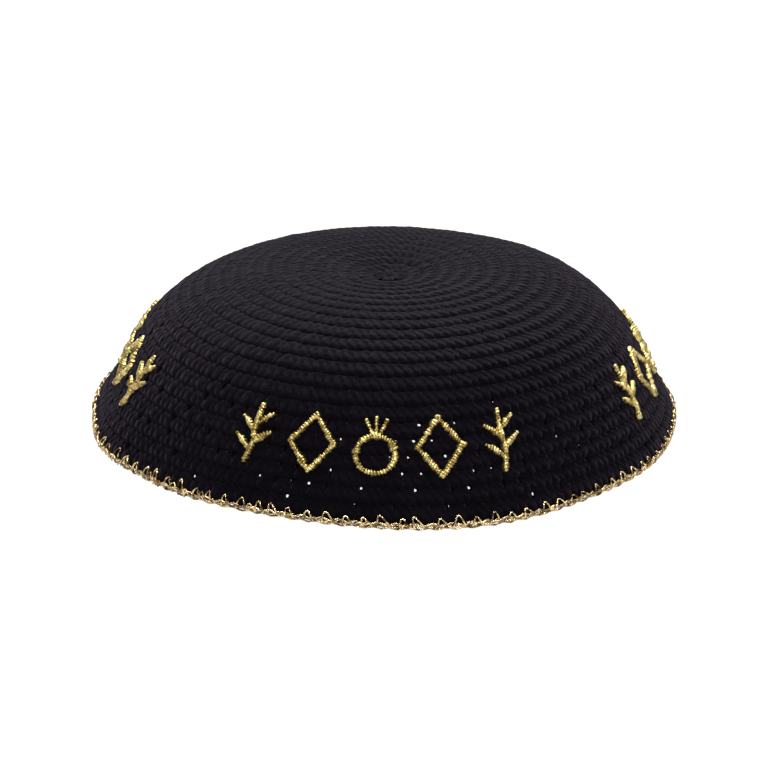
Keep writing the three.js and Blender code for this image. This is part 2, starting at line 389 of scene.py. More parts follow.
def joined_mesh(name, placed, faces, uvs, periods, tones):
    """One mesh of many placed copies: placed is copies x corners x 3."""
    copies, corners = placed.shape[:2]
    sizes = np.tile([len(f) for f in faces], copies)
    flat = np.concatenate([np.array(f) for f in faces])
    loops = (flat[None, :] + corners * np.arange(copies)[:, None]).ravel()
    starts = np.append(0, np.cumsum(sizes)[:-1])
    mesh = bpy.data.meshes.new(name)
    mesh.vertices.add(copies * corners)
    mesh.vertices.foreach_set("co", placed.astype(np.float32).ravel())
    mesh.loops.add(len(loops))
    mesh.loops.foreach_set("vertex_index", loops.astype(np.int32))
    mesh.polygons.add(len(sizes))
    mesh.polygons.foreach_set("loop_start", starts.astype(np.int32))
    mesh.polygons.foreach_set("use_smooth", np.ones(len(sizes), dtype=bool))
    mesh.update(calc_edges=True)
    own_map = np.tile(closed_uvs(faces, uvs, periods), (copies, 1))
    layer = mesh.uv_layers.new(name="yarn")
    layer.uv.foreach_set("vector", own_map.astype(np.float32).ravel())
    tone = mesh.attributes.new("tone", "FLOAT", "POINT")
    tone.data.foreach_set("value", np.repeat(tones, corners).astype(np.float32))
    mesh.validate()
    return recalculated(mesh)


def add_piece(name, mesh, material, replaced=()):
    """Puts a finished mesh in the scene and tells the frame what it is."""
    piece = bpy.data.objects.new(name, mesh)
    bpy.context.scene.collection.objects.link(piece)
    mesh.materials.append(material)
    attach(piece, "root")
    if replaced:
        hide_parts(*replaced)
    print(name + ":", len(mesh.polygons), "faces")


# %% [markdown]
# Tools for materials
#
# A material is a tree of nodes. It could be built by hand in the editor, but
# here every node is made by a line of code, so a few helpers keep those lines
# short: one makes any node, and the others make the kinds that come back
# often. Each gives the socket that the next node reads.

# %% Nodes
def node(tree, kind, **settings):
    """A node with its inputs or its own settings set by name."""
    made = tree.nodes.new(kind)
    for key, value in settings.items():
        if key in made.inputs:
            made.inputs[key].default_value = value
        else:
            setattr(made, key, value)
    return made


def pattern(tree, kind, vector, **settings):
    """A noise or a wave, read at a vector."""
    made = node(tree, kind, **settings)
    tree.links.new(vector, made.inputs["Vector"])
    return made.outputs["Fac"]


def ranged(tree, value, **limits):
    """A value stretched from one range to another."""
    made = tree.nodes.new("ShaderNodeMapRange")
    for key, limit in limits.items():
        made.inputs[key.replace("_", " ").title()].default_value = limit
    tree.links.new(value, made.inputs["Value"])
    return made.outputs["Result"]


def calculated(tree, operation, *values, clamped=False):
    """A sum or a product of sockets and numbers."""
    made = node(tree, "ShaderNodeMath", operation=operation, use_clamp=clamped)
    for socket, value in zip(made.inputs, values):
        if isinstance(value, float):
            socket.default_value = value
        else:
            tree.links.new(value, socket)
    return made.outputs[0]


def blended_colour(tree, factor, a, b):
    """A colour that goes from a to b."""
    made = node(tree, "ShaderNodeMix", data_type="RGBA")
    made.inputs["A"].default_value = (*a, 1)
    made.inputs["B"].default_value = (*b, 1)
    tree.links.new(factor, made.inputs["Factor"])
    return made.outputs["Result"]


def relief(tree, height, strength, distance, under=None):
    """Bumps from a height, over the bumps under them."""
    made = node(tree, "ShaderNodeBump", Strength=strength, Distance=distance)
    tree.links.new(height, made.inputs["Height"])
    if under is not None:
        tree.links.new(under, made.inputs["Normal"])
    return made.outputs["Normal"]


def shader_tree(name):
    """A new material, its tree and its shader."""
    material = bpy.data.materials.new(name)
    material.use_nodes = True
    tree = material.node_tree
    return material, tree, tree.nodes["Principled BSDF"]


# %% [markdown]
# The black yarn
#
# The yarn is black with a faint violet cast and a dry, fibrous surface. A
# picture of yarn could be laid over it, but the stitches run every way, so
# the plies are drawn along each stitch by the stitch's own map, and the
# creases between the plies are darkened in the colour as painted shade. Fine
# strands and fuzz break up the light, lumps make it uneven, and sheen gives
# the soft pale look that fibres have at a grazing angle.

# %% Black yarn
YARN_SHEEN_TINT = (0.92, 0.68, 1, 1)
PLY_BANDS = 0.9425
PAINTED_CREASE_SHADE = 0.45
PATCH_SHARE = 0.6


def make_yarn(name, dark, light):
    material, tree, shader = shader_tree(name)
    shader.inputs["Roughness"].default_value = 0.8
    shader.inputs["Specular IOR Level"].default_value = 0.03
    shader.inputs["Sheen Weight"].default_value = 0.03
    shader.inputs["Sheen Roughness"].default_value = 0.37
    shader.inputs["Sheen Tint"].default_value = YARN_SHEEN_TINT
    place = node(tree, "ShaderNodeTexCoord").outputs["Object"]
    own_map = node(tree, "ShaderNodeUVMap", uv_map="yarn").outputs["UV"]
    tone = node(tree, "ShaderNodeAttribute", attribute_name="tone").outputs["Fac"]
    along = node(tree, "ShaderNodeMapping", Rotation=(0, 0, 0.5), Scale=(11, 2, 1))
    tree.links.new(own_map, along.inputs["Vector"])
    noise = "ShaderNodeTexNoise"
    strands = pattern(
        tree, noise, along.outputs["Vector"], Scale=1, Detail=4, Roughness=0.65,
    )
    plies = pattern(
        tree, "ShaderNodeTexWave", own_map, wave_type="BANDS", bands_direction="DIAGONAL",
        Scale=PLY_BANDS, Distortion=0.5, Detail=1,
    )
    fuzz = pattern(tree, noise, place, Scale=2200, Detail=3, Roughness=0.6)
    lumps = pattern(tree, noise, place, Scale=650, Detail=2, Roughness=0.55)
    patches = pattern(tree, noise, place, Scale=45, Detail=3)
    with_patches = calculated(tree, "MULTIPLY_ADD", patches, PATCH_SHARE, tone)
    # Painted shade: the colour is darkened in the creases between the plies, over the random
    # tone.
    toned_with_crease_shade = calculated(tree, "MULTIPLY", with_patches, ranged(tree, plies, to_min=PAINTED_CREASE_SHADE))
    tree.links.new(blended_colour(tree, toned_with_crease_shade, dark, light), shader.inputs["Base Color"])
    bumps = relief(tree, plies, 0.8, 0.0004)
    bumps = relief(tree, strands, 0.8, 0.0004, bumps)
    bumps = relief(tree, fuzz, 0.6, 0.0002, bumps)
    bumps = relief(tree, lumps, 0.6, 0.0007, bumps)
    tree.links.new(bumps, shader.inputs["Normal"])
    return material


BLACK_YARN = make_yarn("black_yarn", (0.0007, 0.0006, 0.0012), (0.0044, 0.0032, 0.0057))
print("material:", BLACK_YARN.name)

# %% [markdown]
# The gold threads
#
# Both gold threads are metal film wound on a core. Plain gold metal would be
# too even, so random patches mix a pale gold with a deep, nearly black one:
# the deep end is painted shade and reflection, for the places where the
# creased film turns from the light, and the gloss changes with the patches.
# The windings are fine bumps. One function makes both, and the edging's
# thread is the shinier and darker one.

# %% Gold threads
PATCH_EDGES = (0.43, 0.6)
SHADE_PATCHES_IN_GOLD, TONE_IN_GOLD = 0.75, 0.3
GLOSS_RANGE = 0.2


def make_gold(name, pale, deep_shade, roughness, windings):
    material, tree, shader = shader_tree(name)
    shader.inputs["Metallic"].default_value = 1
    place = node(tree, "ShaderNodeTexCoord").outputs["Object"]
    own_map = node(tree, "ShaderNodeUVMap", uv_map="yarn").outputs["UV"]
    tone = node(tree, "ShaderNodeAttribute", attribute_name="tone").outputs["Fac"]
    patches = pattern(tree, "ShaderNodeTexNoise", place, Scale=700, Detail=3)
    sharp = ranged(tree, patches, from_min=PATCH_EDGES[0], from_max=PATCH_EDGES[1])
    own_tone = calculated(tree, "MULTIPLY", tone, TONE_IN_GOLD)
    factor = calculated(tree, "MULTIPLY_ADD", sharp, SHADE_PATCHES_IN_GOLD, own_tone, clamped=True)
    # Painted shade and reflection: the deep colour darkens the metal in random patches.
    tree.links.new(blended_colour(tree, factor, deep_shade, pale), shader.inputs["Base Color"])
    gloss = ranged(tree, patches, to_min=roughness, to_max=roughness + GLOSS_RANGE)
    tree.links.new(gloss, shader.inputs["Roughness"])
    wound = pattern(
        tree, "ShaderNodeTexWave", own_map, wave_type="BANDS", bands_direction="DIAGONAL",
        Scale=windings, Distortion=1.5, Detail=2,
    )
    tree.links.new(relief(tree, wound, 0.5, 0.0001), shader.inputs["Normal"])
    return material


EMBROIDERY_GOLD = make_gold(
    "embroidery_gold", (0.76, 0.63, 0.255), (0.2, 0.125, 0.03), 0.24, 1.5,
)
EDGING_GOLD = make_gold(
    "edging_gold", (0.97, 0.74, 0.39), (0.055, 0.02, 0.004), 0.1, 1.0,
)
print("materials:", EMBROIDERY_GOLD.name, EDGING_GOLD.name)

# %% [markdown]
# The yarn wall
#
# Under its stitches the fabric is a closed wall: the hidden parts of the
# stitches fill it. The stitches could do without it, but then the table's
# light would come through between them. It is spun from a section of the cap,
# with a shallow rib for each round. A pinhole is a face of the wall that is
# inset and rounded, and then taken out before the wall gets its thickness.

# %% Outer side of the wall
WALL_SEGMENTS = 288
WALL_ROWS = 4
WALL_DEPTH = 1.1 * MM
WALL_VALLEY = 0.2 * MM
WALL_THICKNESS = 0.85 * MM
POLE_RADIUS = 1e-6
MERGE_DISTANCE = 1e-5


def wall_rows():
    """Arcs and depths of the wall's outer side, from the top to the edge."""
    rows = []
    for r in rounds:
        for row in range(WALL_ROWS):
            share = row / WALL_ROWS
            arc = r["start"] + share * (r["end"] - r["start"])
            rows.append((arc, -WALL_DEPTH - WALL_VALLEY * math.cos(2 * math.pi * share)))
    return rows + [(MERIDIAN - BARE_EDGE / 2, -WALL_DEPTH)]


def laid_on_the_cap(bm, arc_layer, out_layer):
    """Moves the corners of a flat spun disc onto the cap."""
    flat = np.array([v.co for v in bm.verts])
    azimuths = np.degrees(np.arctan2(flat[:, 0], -flat[:, 1]))
    arcs = np.array([v[arc_layer] for v in bm.verts])
    outs = np.array([v[out_layer] for v in bm.verts])
    for v, place in zip(bm.verts, crown_points(azimuths, arcs, outs)):
        v.co = place


def spin_wall():
    """The wall's outer side as a bmesh, with the arc of each corner kept."""
    bm = bmesh.new()
    arc_layer = bm.verts.layers.float.new("arc")
    out_layer = bm.verts.layers.float.new("out")
    chain = []
    for arc, out in wall_rows():
        v = bm.verts.new((max(arc, POLE_RADIUS), 0, 0))
        v[arc_layer] = arc
        v[out_layer] = out
        chain.append(v)
    edges = [bm.edges.new(pair) for pair in zip(chain, chain[1:])]
    bmesh.ops.spin(
        bm, geom=chain + edges, cent=(0, 0, 0), axis=(0, 0, 1),
        angle=2 * math.pi, steps=WALL_SEGMENTS, use_merge=True,
    )
    bmesh.ops.remove_doubles(bm, verts=bm.verts, dist=MERGE_DISTANCE)
    laid_on_the_cap(bm, arc_layer, out_layer)
    bmesh.ops.recalc_face_normals(bm, faces=bm.faces)
    top = max(bm.faces, key=lambda f: f.calc_center_median().z)
    if top.normal.z < 0:
        bmesh.ops.reverse_faces(bm, faces=bm.faces)
    return bm, arc_layer


# %% Pinholes in the wall
WIDEST_PINHOLE = 0.9


def faces_at_pinholes(bm, arc_layer):
    """The face of the wall nearest to each pinhole, with the pinhole's size."""
    faces = list(bm.faces)
    places = []
    for f in faces:
        centre = f.calc_center_median()
        azimuth = math.degrees(math.atan2(centre.x, -centre.y))
        places.append((azimuth, sum(v[arc_layer] for v in f.verts) / len(f.verts)))
    places = np.array(places)
    opened = {}
    for azimuth, arc, size in pinholes:
        aside = np.radians(turn(places[:, 0], azimuth)) * radius_at(arc)
        opened[int(np.argmin(np.hypot(aside, places[:, 1] - arc)))] = size
    return [(faces[index], size) for index, size in opened.items()]


def open_pinholes(bm, arc_layer):
    """Insets the wall's face at each pinhole, rounds its middle and takes it out."""
    holes = faces_at_pinholes(bm, arc_layer)
    for hole, size in holes:
        side = min(e.calc_length() for e in hole.edges)
        width = min(size, side * WIDEST_PINHOLE)
        bmesh.ops.inset_individual(bm, faces=[hole], thickness=(side - width) / 2)
        for e in list(hole.edges):
            bmesh.utils.edge_split(e, e.verts[0], 0.5)
        centre = hole.calc_center_median()
        for v in hole.verts:
            v.co = centre + (v.co - centre).normalized() * width / 2
    bmesh.ops.delete(bm, geom=[hole for hole, size in holes], context="FACES")
    print("pinholes in the wall:", len(holes))


def make_wall():
    bm, arc_layer = spin_wall()
    open_pinholes(bm, arc_layer)
    bmesh.ops.solidify(bm, geom=bm.faces, thickness=WALL_THICKNESS)
    for f in bm.faces:
        f.smooth = True
    mesh = bpy.data.meshes.new("yarn_wall")
    bm.to_mesh(mesh)
    bm.free()
    return mesh


add_piece("yarn_wall", make_wall(), BLACK_YARN, ["crown"])

# %% [markdown]
# The stitches
#
# Each stitch of the right side shows as two broad legs that meet at its top
# and part towards the edge. A bump pattern on the wall would look flat at the
# cap's outline, so the legs are real tubes. A leg is wide and low, it narrows
# at both ends, and its top sinks under the round above it. It is made once
# and laid on every stitch, each a little different in lean, size and tone,
# because no two stitches pull alike.

# %% Legs
LEG_RINGS = 6
LEG_SIDES = 7
LEG_RADIUS = 2.1 * MM
LEG_SIZES = (0.93, 1.07)
ARCH_PLACES = (0, 0.45, 0.75, 1)
LEG_ARCHES = (0.28 * MM, 0.2 * MM, 0.27 * MM, 0.5 * MM)
LEG_FLATNESSES = (0.25, 0.19, 0.24, 0.31)
CREST = 0.35
LEG_TAPER = 0.32
LEG_FOOT, LEG_HEAD = 0.58, 0.4
LEG_REACH = 1.1
LEG_LEAN, LEAN_CHANGE = 0.3 * MM, 0.13 * MM
LIFT_CHANGE = 0.05 * MM
TURN_CHANGE = 0.03


def leg_profile(along):
    """How deep a leg sinks, in arches, and how wide it stays, from its foot to its head."""
    to_foot = np.clip(1 - along / CREST, 0, 1)
    to_head = np.clip((along - CREST) / (1 - CREST), 0, 1)
    sink = to_foot**1.8 + 1.3 * to_head**1.4
    taper = 1 - LEG_TAPER * (to_foot**2 + to_head**1.5)
    return sink, taper


def legs_of(r, side, rng):
    """One of the two legs of every stitch of a round, laid on the cap."""
    along, angle, section, faces = tube_template(LEG_RINGS, LEG_SIDES)
    sink, taper = leg_profile(along)
    count, middle, width = round_sizes(r)
    radius = LEG_RADIUS * width / STITCH_WIDTH * rng.uniform(*LEG_SIZES, count)[:, None]
    spine = side * width / 2 * (LEG_FOOT + (LEG_HEAD - LEG_FOOT) * along)
    lean = rng.normal(LEG_LEAN, LEAN_CHANGE, count)[:, None]
    lift = rng.normal(0, LIFT_CHANGE, count)[:, None]
    y = (r["end"] - r["start"]) * LEG_REACH * (along - 0.5)
    arch = np.interp(middle / MERIDIAN, ARCH_PLACES, LEG_ARCHES)
    flatness = np.interp(middle / MERIDIAN, ARCH_PLACES, LEG_FLATNESSES)
    z = lift - arch * sink + radius * flatness * (section * taper * np.cos(angle) - 1)
    turns = (np.arange(count) + rng.normal(0, TURN_CHANGE, count)) * 360 / count + r["turned"]
    arcs = middle - y
    local = turning_radii(arcs)
    azimuths = turns[:, None] + np.degrees((spine + lean * (along - 0.5)) / local)
    arcs = np.broadcast_to(np.abs(arcs), azimuths.shape)
    thickness = radius * taper
    azimuths = kept_clear(azimuths, arcs, thickness)
    azimuths = azimuths + np.degrees(thickness * section * np.sin(angle) / local)
    return crown_points(azimuths, arcs, z), faces, along, angle


# %% Stitches of the right side
TOP_ROUNDS = 14
YARN_TONES = (0, 0.35)


def stitches_mesh(name, chosen, seed):
    """Two legs for every stitch of the chosen rounds, joined in one mesh."""
    rng = np.random.default_rng(seed)
    placed = []
    tones = []
    for r in chosen:
        stitch_tones = rng.uniform(*YARN_TONES, r["count"])
        for side in (-1, 1):
            points, faces, along, angle = legs_of(r, side, rng)
            placed.append(points)
            tones.append(stitch_tones)
    uvs = np.stack([angle / math.pi, along], axis=-1)
    return joined_mesh(name, np.concatenate(placed), faces, uvs, (2, 9), np.concatenate(tones))


def add_stitches(name, chosen, seed):
    add_piece(name, stitches_mesh(name, chosen, seed), BLACK_YARN)


add_stitches("stitches_of_the_top", rounds[:TOP_ROUNDS], 1)
add_stitches("stitches_of_the_side", rounds[TOP_ROUNDS:], 2)

# %% [markdown]
# The wrong side
#
# Inside, single crochet shows one short bar for each stitch, lying along the
# round. The inside could stay a plain wall, since the photograph doesn't show
# it, but whoever picks the cap up sees it. The bars are the same kind of tube
# as the legs, laid crosswise.

# %% Bars of the wrong side
BAR_RINGS, BAR_SIDES = 4, 6
BAR_RADIUS = 0.95 * MM
BAR_SIZES = (0.92, 1.1)
BAR_REACH = 1.12
BAR_DEPTH = WALL - 0.1 * MM
BAR_WIDENING = 1.5
BAR_TAPER = 0.4
BAR_SLOPE = 0.5 * MM
BAR_SINK = 0.5 * MM
BAR_WANDER = 0.12 * MM
BAR_TURN_CHANGE = 0.04


def bars_of(r, rng, along, angle, section):
    """A bar for every stitch of a round, on the inner side of the wall."""
    from_middle = np.abs(2 * along - 1)
    count, middle, width = round_sizes(r)
    sizes = rng.uniform(*BAR_SIZES, count)[:, None]
    radius = BAR_RADIUS * min(1, width / STITCH_WIDTH) * sizes
    narrow = section * (1 - BAR_TAPER * from_middle**2.5)
    x = width * BAR_REACH * (along - 0.5)
    wander = rng.normal(0, BAR_WANDER, count)[:, None]
    y = radius * BAR_WIDENING * narrow * np.sin(angle) + wander
    y = y + BAR_SLOPE * (along - 0.5)
    z = -BAR_DEPTH - radius * narrow * np.cos(angle) + radius + BAR_SINK * from_middle**2
    changes = rng.normal(0, BAR_TURN_CHANGE, count)
    turns = (np.arange(count) + 0.5 + changes) * 360 / count + r["turned"]
    arcs = middle - y
    azimuths = turns[:, None] + np.degrees(x / turning_radii(arcs))
    return crown_points(azimuths, np.abs(arcs), z)


def bars_mesh(name, chosen, seed):
    """The bars of the chosen rounds, joined in one mesh."""
    rng = np.random.default_rng(seed)
    along, angle, section, faces = tube_template(BAR_RINGS, BAR_SIDES)
    placed = np.concatenate([bars_of(r, rng, along, angle, section) for r in chosen])
    uvs = np.stack([angle / math.pi, along], axis=-1)
    return joined_mesh(name, placed, faces, uvs, (2, 9), rng.uniform(*YARN_TONES, len(placed)))


bars = bars_mesh("bars_of_the_wrong_side", rounds, 3)
add_piece("bars_of_the_wrong_side", bars, BLACK_YARN)

# %% [markdown]
# The motifs
#
# A band of motifs runs round the side: sprigs, lozenges and small round
# fruits, in four groups of five. Each motif is drawn by its strokes, in
# shares of half its width and height, so that one table holds its form and
# two lengths hold its size. They could be curves drawn by hand, but a table
# keeps them the same as the solids they stand for.

# %% Motifs
MOTIF_WIDTH = 12 * MM
MOTIF_HEIGHT = 16 * MM
MOTIF_STEP = 16.8 * MM
STROKE_WIDTH = 2.3 * MM
BAND_ARC = MERIDIAN - 22 * MM
FIRST_AZIMUTH = -2
GROUPS = 4
GROUP_ORDER = ("sprig", "lozenge", "fruit", "lozenge", "sprig")
MOTIFS = dict(
    sprig=(
        dict(points=((-0.12, -1.1), (0.06, -0.4), (0.02, 0.4), (0.1, 1.1)), width=0.85),
        dict(points=((0, -0.62), (-0.42, -0.3), (-0.82, -0.08)), leaf=True),
        dict(points=((0.04, -0.36), (0.46, -0.04), (0.86, 0.16)), leaf=True),
        dict(points=((0.02, 0.04), (-0.36, 0.38), (-0.74, 0.58)), leaf=True),
        dict(points=((0.04, 0.3), (0.42, 0.62), (0.76, 0.82)), leaf=True),
    ),
    lozenge=(
        dict(points=((-0.06, 1.07), (1.04, -0.05))),
        dict(points=((1.04, 0.07), (-0.04, -1.07))),
        dict(points=((0.06, -1.07), (-1.04, 0.05))),
        dict(points=((-1.04, -0.07), (0.04, 1.07))),
    ),
    fruit=(
        dict(centre=(0, -0.26), radii=(0.84, 0.66)),
        dict(points=((0, 0.34), (0, 1.08)), width=0.7),
        dict(points=((-0.08, 0.32), (-0.5, 0.98)), width=0.7),
        dict(points=((0.08, 0.32), (0.5, 0.98)), width=0.7),
    ),
)
LEAF_WIDTHS = (0.55, 1.1, 0.4)
STROKE_END, END_WIDTH = 0.06, 0.72


def stroke_line(stroke):
    """The middle line of a stroke, in metres on the flat fabric, densely sampled."""
    scale = np.array((MOTIF_WIDTH, MOTIF_HEIGHT)) / 2
    if "centre" in stroke:
        t = np.linspace(0, 2 * np.pi, 121)
        circle = np.stack([np.cos(t), np.sin(t)], axis=1) * stroke["radii"]
        return (circle + stroke["centre"]) * scale
    points = [np.array(p) * scale for p in stroke["points"]]
    if len(points) == 2:
        return np.linspace(points[0], points[1], 60)
    return spline_through(points, 30)


def stroke_width(stroke, share):
    """The stroke's width at a share of its length."""
    if stroke.get("leaf"):
        return STROKE_WIDTH * np.interp(share, (0, 0.5, 1), LEAF_WIDTHS)
    if "centre" in stroke:
        return STROKE_WIDTH * np.ones_like(share)
    ends = np.interp(np.minimum(share, 1 - share), (0, STROKE_END), (END_WIDTH, 1))
    return STROKE_WIDTH * stroke.get("width", 1) * ends


print("motifs:", GROUPS * len(GROUP_ORDER))

# %% [markdown]
# The embroidery
#
# The motifs are satin stitch: gold threads lie side by side across each
# stroke, slanted, and dive into the fabric at its two edges. A smooth bead
# with a pattern on it would miss the rough outline that the threads give, so
# every thread is an arched tube. The threads follow the strokes with a little
# unevenness in reach, slant and height, as they have by hand.

# %% Places of the threads
THREAD_PITCH = 0.8 * MM
LEAST_THREADS = 3
SLOW_CHANGE, REACH_CHANGE = 0.11, 0.13
SHORT_STEP = 1e-4


def thread_places(stroke, rng):
    """Where the threads of a stroke lie: middles, headings, half reaches and the
    slow change in size that each shares with its neighbour."""
    line = stroke_line(stroke)
    lengths = np.append(0, np.cumsum(np.linalg.norm(np.diff(line, axis=0), axis=1)))

    def point_at(distance):
        return np.stack([np.interp(distance, lengths, column) for column in line.T], axis=1)

    count = max(LEAST_THREADS, round(lengths[-1] / THREAD_PITCH))
    first = 0 if "centre" in stroke else 0.5
    along = (np.arange(count) + first) / count
    at = along * lengths[-1]
    heading = point_at(at + SHORT_STEP) - point_at(at - SHORT_STEP)
    heading /= np.linalg.norm(heading, axis=1)[:, None]
    slow = np.repeat(rng.normal(0, SLOW_CHANGE, count // 2 + 1), 2)[:count]
    changes = 1 + slow + rng.normal(0, REACH_CHANGE, count)
    reach = stroke_width(stroke, along) / 2 * changes
    return point_at(at), heading, reach, slow


# %% Threads of a stroke
THREAD_RINGS, THREAD_SIDES = 6, 6
THREAD_RADIUS = 0.53 * MM
THREAD_SIZES = (0.86, 1.14)
THREAD_RISE = 0.72 * MM
THREAD_RISES = (0.92, 1.08)
LEAST_RISE = 0.6
THREAD_DIP = 0.9 * MM
THREAD_OUT = 0.15 * MM
THREAD_SLANT, SLANT_CHANGE = math.radians(28), 0.12
ARCH_POWER = 3.2


def threads_of_stroke(stroke, rng, across, angle, section):
    """The threads of one stroke on the flat fabric: sideways, up and out."""
    middles, heading, reach, slow = thread_places(stroke, rng)
    count = len(reach)
    slant = THREAD_SLANT + rng.normal(0, SLANT_CHANGE, count)
    lean = np.stack([-np.sin(slant), np.cos(slant)], axis=1)
    side = np.stack([-heading[:, 1], heading[:, 0]], axis=1)
    axis = heading * lean[:, :1] + side * lean[:, 1:]
    beside = np.stack([axis[:, 1], -axis[:, 0]], axis=1)
    radius = THREAD_RADIUS * rng.uniform(*THREAD_SIZES, count)
    rise = THREAD_RISE * (1 + slow) * rng.uniform(*THREAD_RISES, count)
    rise = rise * np.clip(reach / STROKE_WIDTH * 2, LEAST_RISE, 1)
    arch = 1 - np.abs(across) ** ARCH_POWER
    lengthways = (reach[:, None] * across[None, :])[..., None]
    sideways = (radius[:, None] * (section * np.sin(angle))[None, :])[..., None]
    spot = middles[:, None, :] + axis[:, None, :] * lengthways
    spot = spot + beside[:, None, :] * sideways
    out = (rise + THREAD_DIP)[:, None] * arch[None, :] - THREAD_DIP - radius[:, None]
    out = out + radius[:, None] * (section * np.cos(angle))[None, :] + THREAD_OUT
    return np.concatenate([spot, out[..., None]], axis=-1)


def threads_mesh(name, azimuth, seed):
    """All threads of one motif, laid on the cap at an azimuth."""
    rng = np.random.default_rng(seed)
    along, angle, section, faces = tube_template(THREAD_RINGS, THREAD_SIDES)
    across = 2 * along - 1
    strokes = [threads_of_stroke(s, rng, across, angle, section) for s in MOTIFS[name]]
    flat = np.concatenate(strokes)
    azimuths = azimuth + np.degrees(flat[..., 0] / radius_at(BAND_ARC))
    points = crown_points(azimuths, BAND_ARC - flat[..., 1], flat[..., 2])
    uvs = np.stack([across, angle / math.pi], axis=-1)
    return joined_mesh(name, points, faces, uvs, (9, 2), rng.uniform(0, 1, len(flat)))


# %% Embroidery
def make_embroidery():
    for group in range(GROUPS):
        for i, name in enumerate(GROUP_ORDER):
            from_middle = (i - (len(GROUP_ORDER) - 1) / 2) * MOTIF_STEP
            azimuth = FIRST_AZIMUTH + group * 360 / GROUPS
            azimuth += math.degrees(from_middle / radius_at(BAND_ARC))
            solid = f"{name}_{group + 1}_{i + 1}"
            mesh = threads_mesh(name, azimuth, 100 + group * 10 + i)
            add_piece(solid + "_threads", mesh, EMBROIDERY_GOLD, [solid])


make_embroidery()

# %% [markdown]
# Strands along the edge
#
# A thin gold thread is crocheted round the edge, and its strands run along
# the edge and cross each other. They could be curves with a round bevel, but
# a ring spun from a small circle is closed from the start, and its corners
# only have to be wound round the edge. Six strands, each with its own level,
# sway and phase, cross often enough to look like one worked cord.

# %% Edge strands
STRAND_RADIUS = 0.27 * MM
STRAND_STEPS = 8
STRAND_SIDES = 6
EDGE_STITCHES = rounds[-1]["count"]
STRAND_TABLE = (
    # level, rise, inset, sway in millimetres; waves round the edge; phase
    (0.52, 0.18, 0.8, 0.3, EDGE_STITCHES, 0.0),
    (0.98, 0.14, 0.65, 0.2, EDGE_STITCHES // 2, 2.0),
    (1.4, 0.42, 1.0, 0.5, EDGE_STITCHES, 0.5),
    (1.3, 0.42, 1.0, 0.5, EDGE_STITCHES, 3.6),
    (0.95, 0.5, 2.0, 0.5, EDGE_STITCHES, 1.0),
    (1.85, 0.3, 0.4, 0.2, EDGE_STITCHES, 4.2),
)
WANDER_TABLE = (
    # size, waves round the edge, phase from strand to strand
    (0.5, 31, 2),
    (0.4, 47, 1),
)
ABOVE_TABLE = 0.01 * MM


def ring_template(steps, sides):
    """A ring round z as arrays: its faces, and each corner's turn round the ring
    and round its section."""
    bm = bmesh.new()
    bmesh.ops.create_circle(bm, cap_ends=False, segments=sides, radius=0.1)
    bmesh.ops.rotate(
        bm, verts=bm.verts, cent=(0, 0, 0), matrix=Euler((math.pi / 2, 0, 0)).to_matrix(),
    )
    bmesh.ops.translate(bm, verts=bm.verts, vec=(1, 0, 0))
    bmesh.ops.spin(
        bm, geom=bm.verts[:] + bm.edges[:], cent=(0, 0, 0), axis=(0, 0, 1),
        angle=2 * math.pi, steps=steps, use_merge=True,
    )
    bmesh.ops.remove_doubles(bm, verts=bm.verts, dist=MERGE_DISTANCE)
    corners, faces = template_of(bm)
    round_turn = np.arctan2(corners[:, 1], corners[:, 0])
    section_turn = np.arctan2(corners[:, 2], np.hypot(corners[:, 0], corners[:, 1]) - 1)
    return faces, round_turn, section_turn


def edge_points(azimuth, inset, level):
    """Points under the cap's edge: inset in metres from its outline, level above the table."""
    radius = RIM_RADIUS * (1 + corner_out(azimuth)) - inset
    a = np.radians(azimuth)
    return np.stack(
        [radius * np.sin(a), -radius * np.cos(a), level + edge_lift(azimuth)], axis=-1
    )


def strands_mesh(name):
    """Every strand of the table, wound round the edge and joined in one mesh."""
    faces, around, section = ring_template(EDGE_STITCHES * STRAND_STEPS, STRAND_SIDES)
    azimuth = np.degrees(around)
    placed = []
    for strand, (level, rise, inset, sway, waves, phase) in enumerate(STRAND_TABLE):
        wander = sum(
            size * np.sin(around * slow_waves + strand * shift)
            for size, slow_waves, shift in WANDER_TABLE
        )
        swing = around * waves + phase + wander
        up = level * MM + rise * MM * np.sin(swing) + STRAND_RADIUS * np.sin(section)
        into = inset * MM - sway * MM * np.cos(swing) - STRAND_RADIUS * np.cos(section)
        placed.append(edge_points(azimuth, into, np.maximum(up, ABOVE_TABLE)))
    uvs = np.stack([around * EDGE_STITCHES, section / math.pi], axis=-1)
    periods = (2 * math.pi * EDGE_STITCHES, 2)
    tones = np.linspace(0.2, 1, len(STRAND_TABLE))
    return joined_mesh(name, np.stack(placed), faces, uvs, periods, tones)


strands = strands_mesh("edging_strands")
add_piece("edging_strands", strands, EDGING_GOLD, ["gold_edging"])

# %% [markdown]
# Loops over the edge
#
# At every stitch of the edge a loop of the gold thread goes up over the last
# round, dives into the fabric and comes down again. One loop repeated evenly
# would look like a printed border, and thin metal thread never lies evenly,
# so each loop has its own height, width, lean and lift. Towards the front left
# some are loose and stand higher, as in the photograph. A lower set lies
# between the tall ones, and another lies inside the edge.

